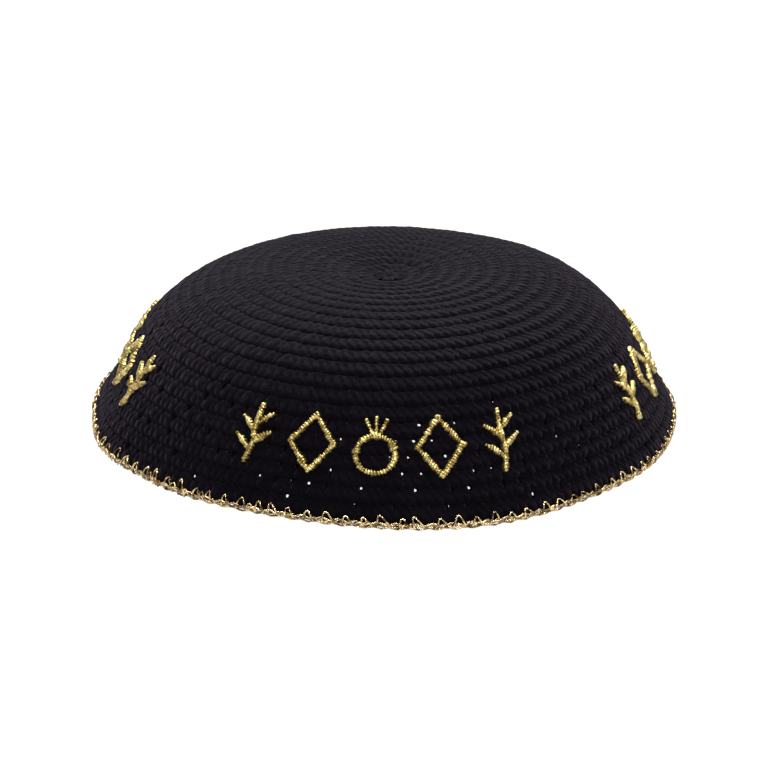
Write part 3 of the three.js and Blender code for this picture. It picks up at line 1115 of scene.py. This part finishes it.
# %% Loops
LOOP_RINGS, LOOP_SIDES = 10, 5
LOOP_RADIUS = 0.24 * MM
LOOP_RADII = (0.8, 1.15)
LOOP_SWELLS = (0.65, 1.1)
LOOP_LIFTS = (-0.1, 0.4)
LOOP_TURN_CHANGE = 0.07
LOOP_SHEAR, LOOSE_SHEAR = 0.1, 0.3
LOOSE_AZIMUTH, LOOSE_SPREAD = -55, 40
LOOSE_HEIGHT = 1.5 * MM
HEADING_STEP = 0.02
LOOP_WINDINGS = 6
LOOP_TABLE = (
    # across in stitches, up in shares of the loop's height, out in millimetres
    (-0.3, -0.25, -0.7),
    (-0.29, 0.1, 0.1),
    (-0.25, 0.6, 0.3),
    (-0.17, 0.95, 0.1),
    (-0.05, 0.98, 0.0),
    (0.09, 0.66, 0.28),
    (0.26, 0.2, 0.2),
    (0.37, -0.25, -0.7),
)


def loop_line(along):
    """The table's line at shares of its length, and its heading there."""
    table = spline_through([np.array(row) for row in LOOP_TABLE], 12)
    shares = np.linspace(0, 1, len(table))

    def line_at(share):
        return np.stack([np.interp(share, shares, column) for column in table.T])

    return line_at(along), line_at(along + HEADING_STEP) - line_at(along - HEADING_STEP)


def loops_mesh(name, heights, depth, facing, seed, foot=0, offset=0, share=1):
    """A loop for every stitch of the edge, or a share of them, outside or inside."""
    rng = np.random.default_rng(seed)
    along, angle, section, faces = tube_template(LOOP_RINGS, LOOP_SIDES)
    at, ahead = loop_line(along)
    count = EDGE_STITCHES
    width = 2 * math.pi * RIM_RADIUS / EDGE_STITCHES
    middles = np.arange(count) + offset + rng.normal(0, LOOP_TURN_CHANGE, count)
    middles = middles * 360 / count
    middles = middles[rng.random(count) < share]
    count = len(middles)
    loose = bump(turn(middles, LOOSE_AZIMUTH), LOOSE_SPREAD) * rng.uniform(0, 1, count)
    height = (rng.uniform(*heights, count) + LOOSE_HEIGHT * loose)[:, None]
    shear = rng.normal(0, LOOP_SHEAR, count) + rng.normal(0, LOOSE_SHEAR, count) * loose
    shear = shear[:, None]
    swell = rng.uniform(*LOOP_SWELLS, count)[:, None]
    lift = rng.uniform(*LOOP_LIFTS, count)[:, None] * MM
    x = width * swell * (at[0] + shear * at[1])
    y = height * at[1]
    out = at[2] * MM + lift * np.clip(at[1], 0, 1)
    heading = np.stack([width * (ahead[0] + shear * ahead[1]), height * ahead[1]], axis=-1)
    heading = heading / np.linalg.norm(heading, axis=-1, keepdims=True)
    radius = LOOP_RADIUS * rng.uniform(*LOOP_RADII, count)[:, None]
    x = x + heading[..., 1] * radius * section * np.sin(angle)
    y = y - heading[..., 0] * radius * section * np.sin(angle)
    out = (out + radius * section * np.cos(angle)) * facing + depth
    azimuths = middles[:, None] + np.degrees(x / RIM_RADIUS)
    points = crown_points(azimuths, MERIDIAN - foot - y, out)
    uvs = np.stack([along * LOOP_WINDINGS, angle / math.pi], axis=-1)
    return joined_mesh(name, points, faces, uvs, (99, 2), rng.uniform(0, 1, count))


# %% Three sets of loops
TALL_LOOPS = (1.9 * MM, 3.1 * MM)
LOW_LOOPS = (0.7 * MM, 1.5 * MM)
INNER_LOOPS = (1.6 * MM, 2.6 * MM)


def make_loops():
    tall = loops_mesh("edging_loops", TALL_LOOPS, 0, 1, 21)
    add_piece("edging_loops", tall, EDGING_GOLD)
    low = loops_mesh("edging_loops_low", LOW_LOOPS, 0, 1, 23, offset=0.5, share=0.45)
    add_piece("edging_loops_low", low, EDGING_GOLD)
    inner = loops_mesh("edging_loops_inside", INNER_LOOPS, -WALL, -1, 22, foot=1 * MM)
    add_piece("edging_loops_inside", inner, EDGING_GOLD)


make_loops()

# %% [markdown]
# The studio
#
# The photograph was taken on a white table that glows, in soft light. A
# strong lamp on a white floor would also make it white, but the light that it
# throws back would wash out the black yarn. So the floor gives off its own
# white and throws back little, which also makes the pinholes shine. The sky
# is bright only near the horizon. A wide softbox above and behind draws the
# ribs of the top, and a small one in front wakes the gold.

# %% Floor
def make_floor():
    bm = bmesh.new()
    bmesh.ops.create_grid(bm, x_segments=1, y_segments=1, size=6)
    mesh = bpy.data.meshes.new("floor")
    bm.to_mesh(mesh)
    bm.free()
    floor = bpy.data.objects.new("floor", mesh)
    bpy.context.scene.collection.objects.link(floor)
    material, tree, shader = shader_tree("pale_table")
    shader.inputs["Base Color"].default_value = (0.03, 0.03, 0.03, 1)
    shader.inputs["Roughness"].default_value = 0.9
    shader.inputs["Emission Color"].default_value = (1, 1, 1, 1)
    shader.inputs["Emission Strength"].default_value = 1
    mesh.materials.append(material)


make_floor()

# %% World and lights
HORIZON = dict(from_min=0.18, from_max=0.24, to_min=1, to_max=0.1)
LIGHT_AIM = Vector((0, 0, 0.02))


def make_world():
    """A dim ceiling over a bright horizon."""
    world = bpy.data.worlds.new("studio")
    bpy.context.scene.world = world
    world.use_nodes = True
    tree = world.node_tree
    place = node(tree, "ShaderNodeTexCoord")
    parts = node(tree, "ShaderNodeSeparateXYZ")
    tree.links.new(place.outputs["Generated"], parts.inputs["Vector"])
    background = tree.nodes["Background"]
    tree.links.new(ranged(tree, parts.outputs["Z"], **HORIZON), background.inputs["Strength"])
    background.inputs["Color"].default_value = (1, 1, 1, 1)


def make_light(name, place, size, power):
    """A softbox that looks at the cap."""
    data = bpy.data.lights.new(name, "AREA")
    data.shape = "RECTANGLE"
    data.size, data.size_y = size
    data.energy = power
    light = bpy.data.objects.new(name, data)
    bpy.context.scene.collection.objects.link(light)
    light.location = place
    light.rotation_euler = (LIGHT_AIM - Vector(place)).to_track_quat("-Z", "Y").to_euler()
    print("light:", name, power, "W")


make_world()
make_light("top_softbox", (0, 0.45, 0.93), (0.8, 1.2), 39)
make_light("front_softbox", (0.15, -0.8, 0.95), (0.25, 0.25), 13)
bpy.context.scene.view_settings.view_transform = "Standard"
